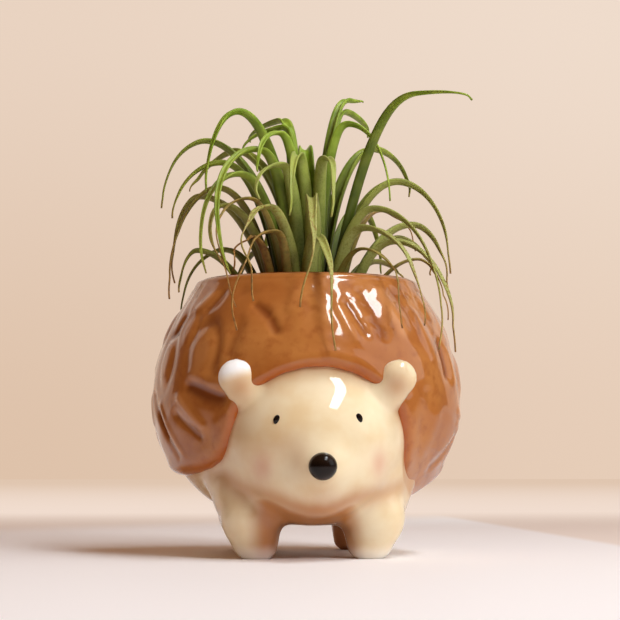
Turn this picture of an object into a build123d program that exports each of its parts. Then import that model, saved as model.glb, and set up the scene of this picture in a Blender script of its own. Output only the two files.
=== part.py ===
from build123d import *
from math import cos, pi, radians, sin, sqrt
import os

# A small glazed ceramic hedgehog whose back is open as a pot, with an air plant standing in it.
# Millimetres, +Z up. The animal faces -Y and stands on the plane z = 0, under the middle of its box.

# Pot: a hollow round body with a flat floor and a rounded rim, widest at its girth, thrown in three
# courses that meet at level joints
girth_radius = 40.0
girth_height = 38.5
rim_height = 69.5
rim_radius = 28.7
mouth_radius = 23.6
rim_rounding = 1.6
belly_radius = 15.3
belly_clearance = 8.5
wall_thickness = 4.3
floor_thickness = 6.0
floor_radius = 12.7
base_joint_height = 27.0
neck_joint_height = 52.0

# Coat: the raised brown layer over the bowl
coat_thickness = 2.7
coat_hem_height = 18.4
coat_lip_width = 1.9
coat_lip_height = 1.5

# Head, muzzle and what sits on them
head_half_width = 21.5
head_half_depth = 18.2
head_height = 30.0
head_inset = 13.4
muzzle_radius = 9.8
muzzle_half_depth = 11.0
muzzle_height = 21.6
muzzle_lead = 10.8
muzzle_blend = 4.0
nose_radius = 3.3
nose_height = 22.3
nose_proud = 2.2
eye_half_width = 0.85
eye_half_height = 1.15
eye_spacing = 19.4
eye_height = 33.4
eye_lean = 12.0
eye_proud = 0.35
eye_depth = 1.3
eye_edge_share = 0.5
ear_radius = 5.0
ear_half_thickness = 2.4
ear_rounding_share = 0.85
ear_height = 42.6
ear_spacing = 37.4
ear_lead = 10.0
ear_turn = 15.0

# Legs: short cones that lean outwards, with flat soles
sole_radius = 4.8
shoulder_radius = 11.0
leg_top_height = 20.0
foot_spacing = 28.6
foot_inset = 15.0
shoulder_spacing = 32.0
leg_lean = 10.0
sole_rounding = 1.4

# Air plant: a short stepped stem, and leaves that stand on its rings
seat_clearance = 0.3
stem_foot_height = 4.0
ring_step = 4.0
ring_width = 1.45
stem_core_radius = 1.1
leaf_thickness = 0.8
leaf_tip_thickness = 0.35
leaf_breadth = 3.4
leaf_tip_breadth = 0.6
leaf_edge_thickness = 0.3
leaf_foot_share = 0.65
leaf_swell_share = 1.3
leaf_overhang = 4.0
leaf_rise = 50.0
lift_over_rim = 4.0
channel_share = 0.22
foot_channel_share = 0.3
section_count = 13

# Each row is one leaf: bearing of the arch and swing of its tip in degrees (0 is forward, 90 is +X),
# then shares: the arch's reach and rise, the tip's reach and rise, and the breadth.
leaf_ring_shares = [
    [
        (-150, 0, 0.50, 0.20, 0.86, -0.30, 0.70),
        (-120, 0, 0.55, 0.18, 0.84, -0.15, 0.75),
        (-90, 4, 0.64, 0.15, 0.74, -0.06, 0.70),
        (-55, 0, 0.40, 0.20, 0.52, 0.03, 0.60),
        (-30, 2, 0.37, 0.22, 0.93, -0.30, 0.60),
        (5, 0, 0.34, 0.19, 0.94, -0.40, 0.95),
        (34, -3, 0.50, 0.13, 0.89, -0.28, 0.45),
        (46, -2, 0.41, 0.24, 0.86, -0.26, 0.90),
        (76, -12, 0.51, 0.19, 0.90, -0.38, 0.90),
        (92, -8, 0.65, 0.12, 0.81, -0.20, 0.45),
        (112, 0, 0.60, 0.24, 0.82, 0.06, 0.80),
        (130, 0, 0.58, 0.13, 0.78, 0.04, 0.80),
        (160, 0, 0.52, 0.18, 0.84, -0.25, 0.75),
        (185, 0, 0.50, 0.22, 0.85, -0.20, 0.70),
    ],
    [
        (-165, 0, 0.50, 0.42, 0.86, 0.05, 0.80),
        (-114, -5, 0.68, 0.46, 0.88, 0.02, 0.75),
        (-95, 18, 0.52, 0.48, 0.81, -0.11, 0.80),
        (-75, 26, 0.50, 0.37, 0.66, 0.06, 0.70),
        (-55, 25, 0.40, 0.40, 0.84, -0.18, 0.45),
        (-33, 12, 0.42, 0.34, 0.86, -0.15, 0.65),
        (2, -8, 0.34, 0.39, 0.87, -0.19, 0.90),
        (62, -10, 0.42, 0.35, 0.89, -0.38, 0.80),
        (100, -5, 0.64, 0.30, 0.84, -0.03, 0.85),
        (122, 0, 0.55, 0.40, 0.80, 0.20, 0.55),
        (143, 0, 0.58, 0.42, 0.86, 0.10, 0.70),
        (172, 0, 0.50, 0.45, 0.86, 0.20, 0.80),
    ],
    [
        (-135, 4, 0.58, 0.72, 0.88, 0.52, 0.80),
        (-106, 0, 0.61, 0.74, 0.88, 0.40, 0.75),
        (-88, 2, 0.49, 0.60, 0.78, 0.32, 0.80),
        (-63, 16, 0.44, 0.52, 0.80, 0.00, 0.80),
        (-57, 22, 0.33, 0.65, 0.81, -0.02, 0.85),
        (-34, 7, 0.28, 0.56, 0.64, 0.36, 0.75),
        (-14, 0, 0.22, 0.62, 0.58, 0.28, 0.75),
        (20, -6, 0.24, 0.60, 0.50, 0.28, 0.75),
        (44, 4, 0.80, 0.88, 1.16, 0.84, 0.65),
        (98, 4, 0.54, 0.52, 0.88, 0.06, 0.85),
        (125, 2, 0.50, 0.72, 0.84, 0.50, 0.80),
    ],
    [
        (-150, 0, 0.26, 0.86, 0.66, 0.80, 0.75),
        (-74, 2, 0.42, 0.85, 0.62, 0.44, 0.85),
        (-46, 4, 0.22, 0.74, 0.46, 0.52, 0.65),
        (74, -6, 0.24, 0.80, 0.50, 0.40, 0.75),
        (140, 6, 0.38, 0.92, 0.72, 0.84, 0.75),
        (178, 0, 0.28, 0.72, 0.50, 0.54, 0.90),
    ],
    [
        (-115, 0, 0.14, 0.80, 0.40, 0.70, 0.70),
        (130, -4, 0.34, 0.97, 0.44, 0.99, 0.60),
    ],
]

os.makedirs("parts", exist_ok=True)

head_forward = girth_radius - head_inset
muzzle_forward = head_forward + muzzle_lead
ear_forward = head_forward + ear_lead
nose_tip_forward = muzzle_forward + muzzle_half_depth + nose_proud
foot_reach = girth_radius - foot_inset
shoulder_reach = foot_reach - leg_lean
leaf_reach = girth_radius + leaf_overhang
axis_back = (nose_tip_forward - girth_radius) / 2
pot_axis = Axis((0, axis_back, 0), (0, 0, 1))
profile_plane = Plane(origin=(0, axis_back, 0), x_dir=(1, 0, 0), z_dir=(0, -1, 0))
shoulder_height = rim_height - coat_lip_height
cavity_floor = belly_clearance + floor_thickness
bowl_radius = girth_radius - coat_thickness
bowl_rim_radius = rim_radius - coat_lip_width
bowl_foot_radius = belly_radius - coat_thickness
cavity_radius = bowl_radius - wall_thickness


def radius_at(height, widest, end):
    """Radius at a height of a wall that curves in an arc from the girth to its end point."""
    narrowing = widest - end[0]
    bend = (narrowing ** 2 + (end[1] - girth_height) ** 2) / (2 * narrowing)
    return widest - bend + sqrt(bend ** 2 - (height - girth_height) ** 2)


def wall_outline(widest, low_end, high_end):
    """Half outline of a round wall: an arc down and an arc up from the girth, both upright there."""
    TangentArc((widest, girth_height), low_end, tangent=(0, -1))
    TangentArc((widest, girth_height), high_end, tangent=(0, 1))


def finish(piece, label):
    """Name a piece and write it."""
    piece.part.label = label
    export_step(piece.part, f"parts/{label}.step")


# Bowl: outer and inner walls joined by the rim, flat under the belly and on the floor
bowl_foot = (bowl_foot_radius, belly_clearance)
bowl_shoulder = (bowl_rim_radius, shoulder_height)
mouth_crest = (mouth_radius + rim_rounding, rim_height)
mouth_edge = (mouth_radius, rim_height - rim_rounding)
with BuildPart() as bowl_blank:
    with BuildSketch(profile_plane):
        with BuildLine():
            wall_outline(bowl_radius, bowl_foot, bowl_shoulder)
            Polyline(bowl_shoulder, (0, shoulder_height), (0, belly_clearance), bowl_foot)
        make_face()
    revolve(axis=pot_axis)

with BuildPart() as pot_bowl:
    with BuildSketch(profile_plane):
        with BuildLine():
            wall_outline(bowl_radius, bowl_foot, bowl_shoulder)
            Polyline(bowl_shoulder, (bowl_rim_radius, rim_height), mouth_crest)
            TangentArc(mouth_crest, mouth_edge, tangent=(-1, 0))
            wall_outline(cavity_radius, (floor_radius, cavity_floor), mouth_edge)
            Polyline((floor_radius, cavity_floor), (0, cavity_floor), (0, belly_clearance), bowl_foot)
        make_face()
    revolve(axis=pot_axis)

courses = (
    ("base", belly_clearance, base_joint_height),
    ("belly", base_joint_height, neck_joint_height),
    ("neck", neck_joint_height, rim_height),
)
for course_name, low, high in courses:
    with BuildPart() as course:
        with BuildSketch(Plane(origin=(0, axis_back, low))):
            Circle(girth_radius)
        extrude(amount=high - low)
        add(pot_bowl.part, mode=Mode.INTERSECT)
    finish(course, f"bowl_{course_name}")

# Head and muzzle: two ovals blended into each other, laid against the bowl, with the nose ball let in
head_centre = (0, axis_back - head_forward)
muzzle_centre = (0, axis_back - muzzle_forward)
head_plane = Plane.XY.offset(head_height)
muzzle_plane = Plane.XY.offset(muzzle_height)


def half_oval(centre, end, crown):
    """Closed half of an oval: an arc from one end over the crown to the other end, and straight back."""
    middle = Vector(*centre)
    first, last = middle + Vector(*end), middle - Vector(*end)
    ThreePointArc(first, middle + Vector(*crown), last)
    Line(last, first)


with BuildPart() as head_blank:
    with BuildSketch(head_plane):
        with BuildLine():
            half_oval(head_centre, (head_half_width, 0), (0, -head_half_depth))
        make_face()
    revolve(axis=Axis((*head_centre, head_height), (1, 0, 0)))
    with BuildSketch(muzzle_plane):
        with BuildLine():
            half_oval(muzzle_centre, (0, muzzle_half_depth), (muzzle_radius, 0))
        make_face()
    revolve(axis=Axis((*muzzle_centre, muzzle_height), (0, 1, 0)))
    seam = head_blank.edges(Select.NEW).sort_by(SortBy.LENGTH)[-1]
    fillet(seam, radius=muzzle_blend)

with BuildPart() as nose:
    with Locations((0, axis_back - nose_tip_forward + nose_radius, nose_height)):
        Sphere(nose_radius)
finish(nose, "nose")

with BuildPart() as head:
    add(head_blank.part)
    add(bowl_blank.part, mode=Mode.SUBTRACT)
    add(nose.part, mode=Mode.SUBTRACT)
finish(head, "head")

# Coat: the layer between the bowl's outside and the outer wall, open where the head comes through
coat_belly = (belly_radius, belly_clearance)
coat_shoulder = (rim_radius, shoulder_height)
hem = (radius_at(coat_hem_height, girth_radius, coat_belly), coat_hem_height)
hem_inside = (radius_at(coat_hem_height, bowl_radius, bowl_foot), coat_hem_height)

with BuildPart() as quill_coat:
    with BuildSketch(profile_plane):
        with BuildLine():
            wall_outline(girth_radius, hem, coat_shoulder)
            TangentArc((bowl_rim_radius, rim_height), coat_shoulder, tangent=(1, 0))
            Line((bowl_rim_radius, rim_height), bowl_shoulder)
            wall_outline(bowl_radius, hem_inside, bowl_shoulder)
            Line(hem_inside, hem)
        make_face()
    revolve(axis=pot_axis)
    add(head_blank.part, mode=Mode.SUBTRACT)
finish(quill_coat, "quill_coat")

# Eyes and ears, in pairs about the middle
eye_x = eye_spacing / 2
eye_depth_share = sqrt(1 - (eye_x / head_half_width) ** 2 - ((eye_height - head_height) / head_half_depth) ** 2)
eye_front = axis_back - head_forward - head_half_depth * eye_depth_share - eye_proud

for side, side_name in ((-1, "left"), (1, "right")):
    eye_plane = Plane(origin=(side * eye_x, eye_front, eye_height), x_dir=(1, 0, 0), z_dir=(0, -1, 0))
    with BuildPart() as eye:
        with BuildSketch(eye_plane):
            Ellipse(eye_half_width, eye_half_height, rotation=side * eye_lean)
        extrude(amount=-eye_depth)
        fillet(eye.faces().sort_by(Axis.Y)[0].edges(), radius=eye_proud * eye_edge_share)
        add(head_blank.part, mode=Mode.SUBTRACT)
    finish(eye, f"eye_{side_name}")

    turn = radians(ear_turn)
    ear_plane = Plane(
        origin=(side * ear_spacing / 2, axis_back - ear_forward, ear_height),
        x_dir=(0, 0, 1),
        z_dir=(side * sin(turn), -cos(turn), 0),
    )
    with BuildPart() as ear:
        with BuildSketch(ear_plane):
            Circle(ear_radius)
        extrude(amount=ear_half_thickness, both=True)
        fillet(ear.edges().filter_by(GeomType.CIRCLE), radius=ear_half_thickness * ear_rounding_share)
        add(head_blank.part, mode=Mode.SUBTRACT)
        add(bowl_blank.part, mode=Mode.SUBTRACT)
        add(quill_coat.part, mode=Mode.SUBTRACT)
    finish(ear, f"ear_{side_name}")

# Legs: lofted cones with flat soles, cut to the belly, the coat's hem and the head
for end, end_name in ((-1, "front"), (1, "rear")):
    for side, side_name in ((-1, "left"), (1, "right")):
        sole_centre = (side * foot_spacing / 2, axis_back + end * foot_reach)
        shoulder_centre = (side * shoulder_spacing / 2, axis_back + end * shoulder_reach)
        with BuildPart() as leg:
            with BuildSketch():
                with Locations(sole_centre):
                    Circle(sole_radius)
            with BuildSketch(Plane.XY.offset(leg_top_height)):
                with Locations(shoulder_centre):
                    Circle(shoulder_radius)
            loft()
            fillet(leg.edges().group_by(Axis.Z)[0], radius=sole_rounding)
            add(bowl_blank.part, mode=Mode.SUBTRACT)
            add(quill_coat.part, mode=Mode.SUBTRACT)
            add(head_blank.part, mode=Mode.SUBTRACT)
        finish(leg, f"leg_{end_name}_{side_name}")

# Stem: a stack of rings, each narrower than the one below, whose ledges carry the leaves
ring_total = len(leaf_ring_shares)
stem_bottom = cavity_floor + seat_clearance
lift_travel = rim_height + lift_over_rim - stem_bottom
print(f"The plant clears the rim after a lift of {lift_travel:.1f} mm")

with BuildPart() as plant_stem:
    with BuildSketch(profile_plane):
        with BuildLine():
            ledge_height = stem_bottom + stem_foot_height
            ledge_radius = stem_core_radius + ring_total * ring_width
            Line((0, stem_bottom), (ledge_radius, stem_bottom))
            Line((ledge_radius, stem_bottom), (ledge_radius, ledge_height))
            for ring in range(ring_total):
                Line((ledge_radius, ledge_height), (ledge_radius - ring_width, ledge_height))
                ledge_radius -= ring_width
                Line((ledge_radius, ledge_height), (ledge_radius, ledge_height + ring_step))
                ledge_height += ring_step
            Line((ledge_radius, ledge_height), (0, ledge_height))
            Line((0, ledge_height), (0, stem_bottom))
        make_face()
    revolve(axis=pot_axis)
finish(plant_stem, "plant_stem")


def smooth_step(share):
    """A share that leaves 0 and reaches 1 without a kink."""
    return share * share * (3 - 2 * share)


def leaf_point(row, base, along):
    """Point on a leaf's midline: up from the stem to the arch while along is under 1, then down to 2."""
    bearing, swing, arch_reach_share, arch_rise_share, tip_reach_share, tip_rise_share, _ = row
    base_bearing, base_radius, base_height = base
    arch_radius = arch_reach_share * leaf_reach
    arch_height = rim_height + arch_rise_share * leaf_rise
    tip_radius = tip_reach_share * leaf_reach
    tip_height = rim_height + tip_rise_share * leaf_rise
    if along < 1:
        angle = along * pi / 2
        radius = base_radius + (arch_radius - base_radius) * (1 - cos(angle))
        height = base_height + (arch_height - base_height) * sin(angle)
        heading = base_bearing + (bearing - base_bearing) * smooth_step(along)
    else:
        angle = (along - 1) * pi / 2
        radius = arch_radius + (tip_radius - arch_radius) * sin(angle)
        height = arch_height + (tip_height - arch_height) * (1 - cos(angle))
        heading = bearing + swing * (along - 1) ** 2
    across = radians(heading)
    return Vector(radius * sin(across), axis_back - radius * cos(across), height)


def leaf_plane(row, base, along, step_share=0.01):
    """Plane square to a leaf's midline, with its x axis level and its y axis on the upper side."""
    here = leaf_point(row, base, along)
    before = leaf_point(row, base, max(0, along - step_share))
    after = leaf_point(row, base, min(2, along + step_share))
    tangent = Vector(0, 0, 1) if along == 0 else (after - before).normalized()
    outward = Vector(here.X, here.Y - axis_back, 0)
    level = outward.cross(Vector(0, 0, -1))
    level = (level - tangent * level.dot(tangent)).normalized()
    return Plane(origin=here, x_dir=level, z_dir=tangent)


def leaf_breadth_at(breadth, length_share):
    """Breadth along a leaf: narrow foot, full middle and a fine tip."""
    fullness = (1 - length_share ** 2) * (leaf_foot_share + leaf_swell_share * length_share)
    return leaf_tip_breadth + (breadth - leaf_tip_breadth) * fullness


leaf_count = 0
for ring, rows in enumerate(leaf_ring_shares):
    base_height = stem_bottom + stem_foot_height + ring * ring_step
    base_radius = stem_core_radius + (ring_total - ring - 1 / 2) * ring_width
    spacing = 360 / len(rows)
    first_bearing = sum(row[0] - place * spacing for place, row in enumerate(rows)) / len(rows)
    for place, row in enumerate(rows):
        base = (first_bearing + place * spacing, base_radius, base_height)
        with BuildPart() as leaf:
            for section in range(section_count):
                length_share = section / (section_count - 1)
                breadth = leaf_breadth_at(row[-1] * leaf_breadth, length_share)
                thickness = leaf_thickness + (leaf_tip_thickness - leaf_thickness) * length_share
                channel = breadth * channel_share * min(1, length_share + foot_channel_share)
                with BuildSketch(leaf_plane(row, base, 2 * length_share)):
                    with BuildLine():
                        under = channel - leaf_edge_thickness / 2
                        over = channel + leaf_edge_thickness / 2
                        Polyline(
                            (-breadth / 2, under), (0, -thickness / 2), (breadth / 2, under),
                            (breadth / 2, over), (0, thickness / 2), (-breadth / 2, over), close=True,
                        )
                    make_face()
            loft(ruled=True)
        leaf_count += 1
        finish(leaf, f"leaf_{leaf_count:02d}")
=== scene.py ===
from math import cos, pi, radians, sin

import bpy
import numpy as np
from mathutils import Matrix, Vector


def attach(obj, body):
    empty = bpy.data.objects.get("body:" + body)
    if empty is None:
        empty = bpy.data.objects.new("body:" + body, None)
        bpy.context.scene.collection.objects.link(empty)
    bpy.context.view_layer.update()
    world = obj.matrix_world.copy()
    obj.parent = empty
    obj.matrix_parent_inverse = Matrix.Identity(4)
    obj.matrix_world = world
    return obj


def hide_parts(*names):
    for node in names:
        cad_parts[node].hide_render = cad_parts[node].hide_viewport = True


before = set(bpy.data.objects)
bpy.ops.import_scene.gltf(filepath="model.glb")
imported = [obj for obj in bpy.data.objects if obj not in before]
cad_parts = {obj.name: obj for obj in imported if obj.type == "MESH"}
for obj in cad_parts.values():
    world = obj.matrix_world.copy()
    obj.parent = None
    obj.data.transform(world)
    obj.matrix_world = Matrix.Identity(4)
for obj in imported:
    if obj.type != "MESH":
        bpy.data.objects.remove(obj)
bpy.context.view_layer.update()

# A small glazed hedgehog pot and its air plant. Sizes are in millimetres until a mesh is written.
MM = 0.001
rng = np.random.default_rng(7)

# The pot's driving sizes, as in the part. Its axis stands behind the middle of the whole object's box.
girth_radius = 40.0
girth_height = 38.5
axis_back = 5.3
rim_height = 69.5
lip_height = 1.5
shoulder_height = rim_height - lip_height
rim_radius = 28.7
mouth_radius = 23.6
belly_radius = 15.3
belly_clearance = 8.5
coat_thickness = 2.7
coat_lip_width = 1.9
bowl_radius = girth_radius - coat_thickness
bowl_rim_radius = rim_radius - coat_lip_width
bowl_foot_radius = belly_radius - coat_thickness


def deselect():
    """Leave nothing selected."""
    for obj in bpy.context.selected_objects:
        obj.select_set(False)


def only(obj):
    """Select one object and make it active."""
    deselect()
    obj.select_set(True)
    bpy.context.view_layer.objects.active = obj


def named(name):
    """Name the object that an operator has just added."""
    obj = bpy.context.object
    obj.name = name
    obj.data.name = name
    return obj


def settle(obj):
    """Put an object's place, turn and scale into its mesh."""
    only(obj)
    bpy.ops.object.transform_apply(location=True, rotation=True, scale=True)


def apply_modifier(obj, kind, **settings):
    """Add a modifier with its settings and apply it."""
    only(obj)
    modifier = obj.modifiers.new(kind.lower(), kind)
    for key, value in settings.items():
        setattr(modifier, key, value)
    bpy.ops.object.modifier_apply(modifier=modifier.name)


def points_of(obj):
    """Vertex places of a mesh in millimetres, one row each."""
    flat = np.empty(len(obj.data.vertices) * 3)
    obj.data.vertices.foreach_get("co", flat)
    return flat.reshape(-1, 3) / MM


def move_points(obj, places):
    """Write vertex places, given in millimetres."""
    obj.data.vertices.foreach_set("co", (places * MM).ravel())
    obj.data.update()


def write_attribute(obj, name, values):
    """Store one number per vertex under a name that a material reads."""
    layer = obj.data.attributes.new(name, "FLOAT", "POINT")
    layer.data.foreach_set("value", np.asarray(values, dtype=np.float32))


def smooth(obj):
    """Shade a piece smooth all over."""
    only(obj)
    bpy.ops.object.shade_smooth()


def outward(obj):
    """Merge doubled points and turn all faces outwards."""
    only(obj)
    bpy.ops.object.mode_set(mode="EDIT")
    bpy.ops.mesh.select_all(action="SELECT")
    bpy.ops.mesh.remove_doubles(threshold=0.01 * MM)
    bpy.ops.mesh.normals_make_consistent(inside=False)
    bpy.ops.object.mode_set(mode="OBJECT")


def radius_at(height, widest, end):
    """Radius at a height of a wall that curves in an arc from the girth to its end point."""
    narrowing = widest - end[0]
    bend = (narrowing ** 2 + (end[1] - girth_height) ** 2) / (2 * narrowing)
    rise = np.clip(np.abs(height - girth_height), 0, bend * 0.999)
    return widest - bend + np.sqrt(bend ** 2 - rise ** 2)


def coat_radius(height):
    """Outer radius of the coat at a height, before its relief."""
    upper = radius_at(height, girth_radius, (rim_radius, shoulder_height))
    lower = radius_at(height, girth_radius, (belly_radius, belly_clearance))
    return np.where(height > girth_height, upper, lower)


def bowl_outside(height):
    """Outer radius of the bowl under the coat."""
    upper = radius_at(height, bowl_radius, (bowl_rim_radius, shoulder_height))
    lower = radius_at(height, bowl_radius, (bowl_foot_radius, belly_clearance))
    return np.where(height > girth_height, upper, lower)


def ease(share):
    """A share that leaves 0 and reaches 1 without a kink."""
    share = np.clip(share, 0, 1)
    return share * share * (3 - 2 * share)


# Materials

def linear(code):
    """Linear colour from an sRGB hex code."""
    channels = [int(code[i:i + 2], 16) / 255 for i in (1, 3, 5)]
    return tuple(c / 12.92 if c <= 0.04045 else ((c + 0.055) / 1.055) ** 2.4 for c in channels) + (1.0,)


def add_node(tree, kind, inputs=None, **settings):
    """Add a node, set its settings, and set or link its inputs."""
    node = tree.nodes.new(kind)
    for key, value in settings.items():
        setattr(node, key, value)
    for key, value in (inputs or {}).items():
        if isinstance(value, bpy.types.NodeSocket):
            tree.links.new(value, node.inputs[key])
        else:
            node.inputs[key].default_value = value
    return node


def new_material(name):
    """An empty node material with its Principled shader."""
    material = bpy.data.materials.new(name)
    material.use_nodes = True
    return material, material.node_tree, material.node_tree.nodes["Principled BSDF"]


def lay_over(tree, ground, layers):
    """Lay colours over a ground, one after another, and give the outcome.

    Colours and ground are hex codes or sockets. A layer's share is a socket, or the name of a number stored
    on the mesh. Where two levels follow, the layer comes in softly as its share goes from one to the other.
    """
    colour = linear(ground) if isinstance(ground, str) else ground
    for share, over, *levels in layers:
        if isinstance(share, str):
            share = add_node(tree, "ShaderNodeAttribute", attribute_name=share).outputs["Fac"]
        if levels:
            span = {0: share, 1: levels[0], 2: levels[1]}
            share = add_node(tree, "ShaderNodeMapRange", span, interpolation_type="SMOOTHSTEP").outputs[0]
        pair = {0: share, 6: colour, 7: linear(over) if isinstance(over, str) else over}
        colour = add_node(tree, "ShaderNodeMix", pair, data_type="RGBA").outputs[2]
    return colour


def mottle(tree, size_mm, detail=3.0, roughness=0.5):
    """Cloudy noise with a spot size in millimetres, in object space."""
    place = add_node(tree, "ShaderNodeTexCoord").outputs["Object"]
    scale = 1 / (size_mm * MM)
    cloud = {"Vector": place, "Scale": scale, "Detail": detail, "Roughness": roughness}
    return add_node(tree, "ShaderNodeTexNoise", cloud).outputs["Fac"]


def sprinkle(tree, stored_name, pattern, low, high, least):
    """Share of a fine pattern, eased up from least to 1, times a number that is stored on the mesh."""
    span = {0: pattern, 1: low, 2: high, 3: least, 4: 1.0}
    grains = add_node(tree, "ShaderNodeMapRange", span, interpolation_type="SMOOTHSTEP").outputs[0]
    stored = add_node(tree, "ShaderNodeAttribute", attribute_name=stored_name).outputs["Fac"]
    return add_node(tree, "ShaderNodeMath", {0: grains, 1: stored}, operation="MULTIPLY").outputs[0]


def glaze(shader, base_roughness):
    """Fired gloss glaze: a clear glass layer, with sharp highlights, over softly shining coloured slip."""
    shader.inputs["Roughness"].default_value = base_roughness
    shader.inputs["IOR"].default_value = 1.5
    shader.inputs["Specular IOR Level"].default_value = 0.15
    shader.inputs["Coat Weight"].default_value = 1.0
    shader.inputs["Coat Roughness"].default_value = 0.05
    shader.inputs["Coat IOR"].default_value = 1.5


def glaze_ripple(tree, shader, size_mm, depth_mm):
    """The faint orange peel of a brushed glaze."""
    ripple = mottle(tree, size_mm, 2.0)
    bump = add_node(tree, "ShaderNodeBump", {"Height": ripple, "Distance": depth_mm * MM, "Strength": 0.5})
    tree.links.new(bump.outputs[0], shader.inputs["Normal"])
    tree.links.new(bump.outputs[0], shader.inputs["Coat Normal"])


def brown_glaze():
    """Brown iron glaze: thin and pale on the crests, pooled dark in the grooves, orange at its edge."""
    material, tree, shader = new_material("brown_iron_glaze")
    glaze(shader, 0.34)
    layers = [
        (mottle(tree, 14.0), "#B9773B", 0.3, 0.7),
        (mottle(tree, 3.0), "#A05C28", 0.45, 0.8),
        ("relief", "#C58650", 0.55, 1.0),
        ("relief", "#834319", 0.42, 0.0),
        ("edge", "#B4570F", 0.0, 1.0),
    ]
    tree.links.new(lay_over(tree, "#A8632B", layers), shader.inputs["Base Color"])
    glaze_ripple(tree, shader, 5.0, 0.12)
    return material


def cream_glaze():
    """Cream slip under clear glaze, with sprayed orange-brown, painted shade under the face and on its left
    side, a painted highlight on the left ear, and pink cheeks.
    """
    material, tree, shader = new_material("cream_slip_glaze")
    glaze(shader, 0.4)
    layers = [
        (mottle(tree, 9.0), "#ECD2A5", 0.3, 0.75),
        # Orange-brown: sprayed colour, and painted shade in creases, under the body and on the left side
        ("spray_and_shade", "#B9712F"),
        ("blush", "#D98E74"),
        # White over the cream: a painted highlight on the left ear, and paler fronts of the front soles
        ("pale", "#FFFFFF"),
    ]
    tree.links.new(lay_over(tree, "#F3E3C0", layers), shader.inputs["Base Color"])
    glaze_ripple(tree, shader, 9.0, 0.02)
    return material


def inner_glaze():
    """Brown glaze inside the bowl, thinner and duller than outside."""
    material, tree, shader = new_material("inside_glaze")
    glaze(shader, 0.45)
    stained = lay_over(tree, "#A8683A", [(mottle(tree, 6.0, 4.0), "#8C5128", 0.35, 0.7)])
    tree.links.new(stained, shader.inputs["Base Color"])
    glaze_ripple(tree, shader, 6.0, 0.1)
    return material


def black_glaze():
    """Black manganese glaze: one smooth dark layer with a small highlight, brown where it is thin."""
    material, tree, shader = new_material("black_manganese_glaze")
    shader.inputs["Roughness"].default_value = 0.2
    shader.inputs["IOR"].default_value = 1.5
    shader.inputs["Specular IOR Level"].default_value = 0.3
    thinned = lay_over(tree, "#0E0705", [(mottle(tree, 2.5), "#1E100A", 0.4, 0.8)])
    tree.links.new(thinned, shader.inputs["Base Color"])
    return material


def leaf_skin():
    """Air plant leaf: green under silver scales, olive on old leaves, dried brown at the tip."""
    material, tree, shader = new_material("air_plant_leaf")
    shader.inputs["Roughness"].default_value = 0.48
    shader.inputs["Specular IOR Level"].default_value = 0.4
    soft_tone = mottle(tree, 4.0, 2.0)
    old_green = lay_over(tree, "#636A14", [(soft_tone, "#868C2C", 0.3, 0.7)])
    young_green = lay_over(tree, "#78981A", [(soft_tone, "#A0B83E", 0.3, 0.7)])
    dry_brown = lay_over(tree, "#B07F42", [(mottle(tree, 1.5, 4.0), "#7A4E2C", 0.35, 0.7)])

    # Real scales are about 0.2 mm across; these are coarser, so that they show
    scales = sprinkle(tree, "silver", mottle(tree, 0.45, 2.0), 0.24, 0.6, least=0.45)
    specks = sprinkle(tree, "speck", mottle(tree, 0.8, 3.0, 0.6), 0.5, 0.62, least=0.0)
    layers = [
        ("young", young_green),
        # Darker towards the base: painted shade deep in the rosette
        ("along", "#35430B", 0.50, 0.16),
        ("olive", "#7F7330"),
        (scales, "#ABAE62"),
        (specks, "#8A6428"),
        ("dry", dry_brown),
    ]
    tree.links.new(lay_over(tree, old_green, layers), shader.inputs["Base Color"])
    unevenness = {"Height": mottle(tree, 1.8, 1.0), "Distance": 0.08 * MM, "Strength": 0.3}
    bump = add_node(tree, "ShaderNodeBump", unevenness)
    tree.links.new(bump.outputs[0], shader.inputs["Normal"])
    return material


def bark():
    """Dry fibrous foot of the plant: dull, streaked brown."""
    material, tree, shader = new_material("fibrous_stem")
    shader.inputs["Roughness"].default_value = 0.8
    fibrous = lay_over(tree, "#6B4A28", [(mottle(tree, 1.0, 5.0), "#A08048", 0.3, 0.7)])
    tree.links.new(fibrous, shader.inputs["Base Color"])
    return material


brown = brown_glaze()
cream = cream_glaze()
inside = inner_glaze()
black = black_glaze()
leaf_material = leaf_skin()
stem_material = bark()


def dress(obj, material, body, slot, *nodes):
    """Give a piece its finish, its body and the nodes that it stands for; the slot is not used."""
    obj.data.materials.clear()
    obj.data.materials.append(material)
    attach(obj, body)
    if nodes:
        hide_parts(*nodes)


# Coat: a brown layer with carved quills, raised over the cream skin and rolled over the rim

# Lower edge of the coat, as bearing in degrees (0 is the middle of the face, plus is +X) and height in mm
hem_knots = [
    (-180, 18.5), (-150, 18.8), (-120, 19.4), (-90, 19.8), (-72, 19.8), (-58, 20.6), (-48, 21.6), (-40, 23.4),
    (-34.5, 26.5), (-31.5, 30.0), (-28.5, 35.5), (-25.0, 39.4), (-19.0, 41.8), (-12.0, 44.2), (-4.0, 45.6),
    (5.0, 45.8), (14.0, 44.4), (20.5, 42.2), (27.0, 39.4), (31.0, 36.0), (34.5, 30.5), (36.5, 25.0),
    (39.5, 19.0), (50.0, 15.0), (63.0, 14.0), (72.0, 16.4), (82.0, 18.6), (100.0, 19.6), (130.0, 19.2),
    (180, 18.5),
]
coat_columns = 540
coat_rows = 168
hem_radius = 36
carving_radius = 37


def hem_height(bearing):
    """Height of the coat's lower edge at a bearing."""
    knots = np.array(hem_knots)
    bearings = np.linspace(-180, 180, 1441)
    heights = np.interp(bearings, knots[:, 0], knots[:, 1])
    kernel = np.hanning(13)
    wrapped = np.concatenate([heights[-7:-1], heights, heights[1:7]])
    return np.interp(bearing, bearings, np.convolve(wrapped, kernel / kernel.sum(), mode="valid"))


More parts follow.
